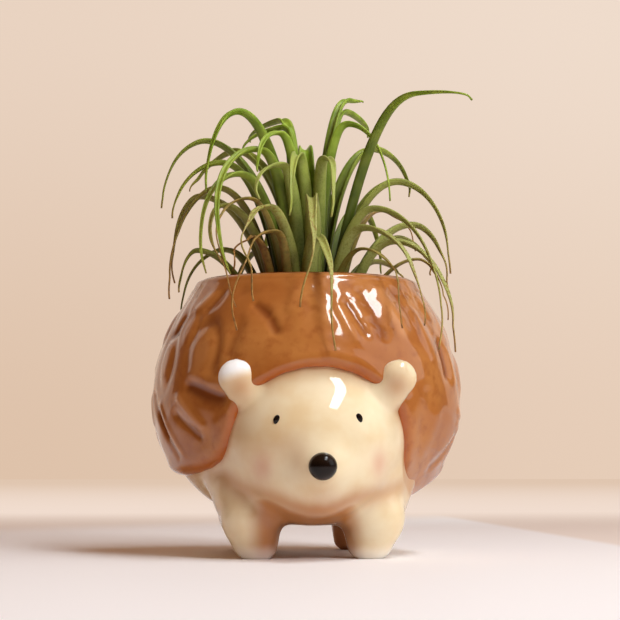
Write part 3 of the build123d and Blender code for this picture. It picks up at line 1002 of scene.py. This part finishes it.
def build_leaves():
    """All the leaves, ring by ring, spaced evenly round the stem."""
    count = 0
    for ring, rows in enumerate(leaf_ring_shares):
        base_height = stem_bottom + stem_foot_height + ring * ring_step
        base_radius = stem_core_radius + (len(leaf_ring_shares) - ring - 1 / 2) * ring_width
        spacing = 360 / len(rows)
        first = sum(row[0] - place * spacing for place, row in enumerate(rows)) / len(rows)
        for place, row in enumerate(rows):
            count += 1
            build_leaf(f"leaf_{count:02d}", row, (first + place * spacing, base_radius, base_height), ring)


# Floor, backdrop, lamps and camera

def shown(tree, *shares):
    """The shares multiplied, for rays that show a surface by eye or in a gloss, and 0 for other rays."""
    path = add_node(tree, "ShaderNodeLightPath").outputs
    mirrored = {0: path["Is Glossy Ray"], 1: path["Is Transmission Ray"]}
    gloss = add_node(tree, "ShaderNodeMath", mirrored, operation="ADD")
    either = {0: path["Is Camera Ray"], 1: gloss.outputs[0]}
    share = add_node(tree, "ShaderNodeMath", either, operation="ADD", use_clamp=True).outputs[0]
    for other in shares:
        share = add_node(tree, "ShaderNodeMath", {0: share, 1: other}, operation="MULTIPLY").outputs[0]
    return share


def show_colour(tree, shader, share, colour):
    """Show a colour as it is written, by a share, in place of the lit surface."""
    bright = add_node(tree, "ShaderNodeEmission", {"Color": colour})
    mix = add_node(tree, "ShaderNodeMixShader", {0: share, 1: shader.outputs[0], 2: bright.outputs[0]})
    output = next(node for node in tree.nodes if node.type == "OUTPUT_MATERIAL")
    tree.links.new(mix.outputs[0], output.inputs["Surface"])


def build_stage():
    """A matt pale board, lying askew on a matt pale table, and a pale wall."""
    deselect()
    bpy.ops.mesh.primitive_plane_add(size=6, location=(0, 0, 0))
    floor = named("floor")
    settle(floor)
    material, tree, shader = new_material("pale_table")
    shader.inputs["Roughness"].default_value = 0.6
    place = add_node(tree, "ShaderNodeTexCoord").outputs["Object"]
    across, back, _ = add_node(tree, "ShaderNodeSeparateXYZ", {0: place}).outputs
    right_edge = add_node(tree, "ShaderNodeMath", {0: back, 1: 0.042, 2: across}, operation="MULTIPLY_ADD")
    rear_edge = add_node(tree, "ShaderNodeMath", {0: across, 1: -0.86, 2: back}, operation="MULTIPLY_ADD")

    # Soft edges, each fading in between two places in metres
    fades = [(right_edge.outputs[0], 0.096, 0.088), (rear_edge.outputs[0], 0.31, 0.20), (back, 0.17, 0.42)]
    shares = []
    for distance, none_at, all_at in fades:
        span = {0: distance, 1: none_at, 2: all_at}
        shares.append(add_node(tree, "ShaderNodeMapRange", span, interpolation_type="SMOOTHSTEP").outputs[0])
    inside_right, inside_rear, behind_shadow = shares
    inside_both = {0: inside_right, 1: inside_rear}
    on_board = add_node(tree, "ShaderNodeMath", inside_both, operation="MULTIPLY").outputs[0]
    lit = lay_over(tree, "#EFE2DA", [(on_board, "#FAF8FA")])
    tree.links.new(lit, shader.inputs["Base Color"])
    seen = lay_over(tree, "#F1DDCF", [(back, "#E0C6B0", 0.3, 1.6), (on_board, "#F6EFEC")])
    show_colour(tree, shader, shown(tree, behind_shadow), seen)
    floor.data.materials.append(material)

    deselect()
    bpy.ops.mesh.primitive_plane_add(size=6, location=(0, 1.88, 0), rotation=(radians(90), 0, 0))
    wall = named("backdrop")
    settle(wall)
    material, tree, shader = new_material("pale_wall")
    shader.inputs["Roughness"].default_value = 0.9
    shader.inputs["Base Color"].default_value = linear("#EAD2C0")
    place = add_node(tree, "ShaderNodeTexCoord").outputs["Object"]
    across, _, up = add_node(tree, "ShaderNodeSeparateXYZ", {0: place}).outputs
    left = lay_over(tree, "#DEC2AA", [(up, "#E9D3C1", 0.0, 0.6)])
    right = lay_over(tree, "#E6CDB8", [(up, "#EFDCCC", 0.0, 0.6)])
    show_colour(tree, shader, shown(tree), lay_over(tree, left, [(across, right, -0.3, 0.55)]))
    wall.data.materials.append(material)


def softbox(name, place, width, height, strength):
    """A lamp at a place in metres, aimed at the middle of the pot, with its height along the room's depth."""
    light = bpy.data.lights.new(name, "AREA")
    light.shape = "RECTANGLE"
    light.size = width
    light.size_y = height
    light.energy = strength
    light.color = (0.90, 0.965, 1.0)
    lamp = bpy.data.objects.new(name, light)
    bpy.context.scene.collection.objects.link(lamp)
    aim = (Vector((0, 0, 0.05)) - Vector(place)).normalized()
    across = aim.cross(Vector((0, 1, 0))).normalized()
    lamp.location = place
    lamp.rotation_euler = Matrix((across, across.cross(aim), -aim)).transposed().to_euler()
    return lamp


def build_light_and_camera():
    """Soft studio light, and a camera at the photograph's place."""
    scene = bpy.context.scene
    world = bpy.data.worlds.new("studio")
    world.use_nodes = True
    tree = world.node_tree
    direction = add_node(tree, "ShaderNodeTexCoord").outputs["Generated"]
    up = add_node(tree, "ShaderNodeSeparateXYZ", {0: direction}).outputs[2]
    strength = add_node(tree, "ShaderNodeMapRange", {0: up, 1: 0.0, 2: 1.0, 3: 0.05, 4: 0.40})
    sky = tree.nodes["Background"]
    sky.inputs["Color"].default_value = linear("#FFB87C")
    tree.links.new(strength.outputs[0], sky.inputs["Strength"])
    plain = add_node(tree, "ShaderNodeBackground", {"Color": linear("#E9D3C1")})
    seen = add_node(tree, "ShaderNodeLightPath").outputs["Is Camera Ray"]
    both = add_node(tree, "ShaderNodeMixShader", {0: seen, 1: sky.outputs[0], 2: plain.outputs[0]})
    tree.links.new(both.outputs[0], tree.nodes["World Output"].inputs["Surface"])
    scene.world = world
    softbox("long_window", (0.24, -0.20, 0.66), 0.11, 0.44, 2.6)
    softbox("right_panel", (0.80, -0.20, 0.44), 0.7, 0.7, 1.6)

    # The key throws the shadow but leaves no highlight, because the photographed glaze shows only the window
    key = softbox("front_key", (0.40, -0.60, 0.50), 0.24, 0.24, 3.2)
    key.visible_glossy = False

    # The camera looks a little up, and turned towards +X, from near the table's height
    camera_height = 24.0
    camera_distance = 510.0
    camera_turn = radians(3.5)
    pitch = 4.28
    aim_shift = 0.8
    right = Vector((cos(camera_turn), -sin(camera_turn), 0))
    ahead = Vector((sin(camera_turn), cos(camera_turn), 0))
    camera = bpy.data.cameras.new("camera")
    camera.lens = 115.66
    camera.sensor_width = 36
    camera.sensor_fit = "HORIZONTAL"
    holder = bpy.data.objects.new("camera", camera)
    scene.collection.objects.link(holder)
    place = Vector((0, axis_back, camera_height)) - ahead * camera_distance + right * aim_shift
    holder.location = place * MM
    holder.rotation_euler = (radians(90 + pitch), 0, -camera_turn)
    scene.camera = holder
    scene.view_settings.view_transform = "Standard"


def finish_nodes():
    """Finishes for the CAD nodes that stay in sight."""
    finishes = {"bowl_base": inside, "bowl_belly": inside, "bowl_neck": inside, "plant_stem": stem_material}
    for name, material in finishes.items():
        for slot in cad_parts[name].material_slots:
            slot.material = material


build_light_and_camera()
build_stage()
finish_nodes()
build_coat()
skin_piece = build_skin()
build_nose()
build_eyes(skin_piece)
build_leaves()
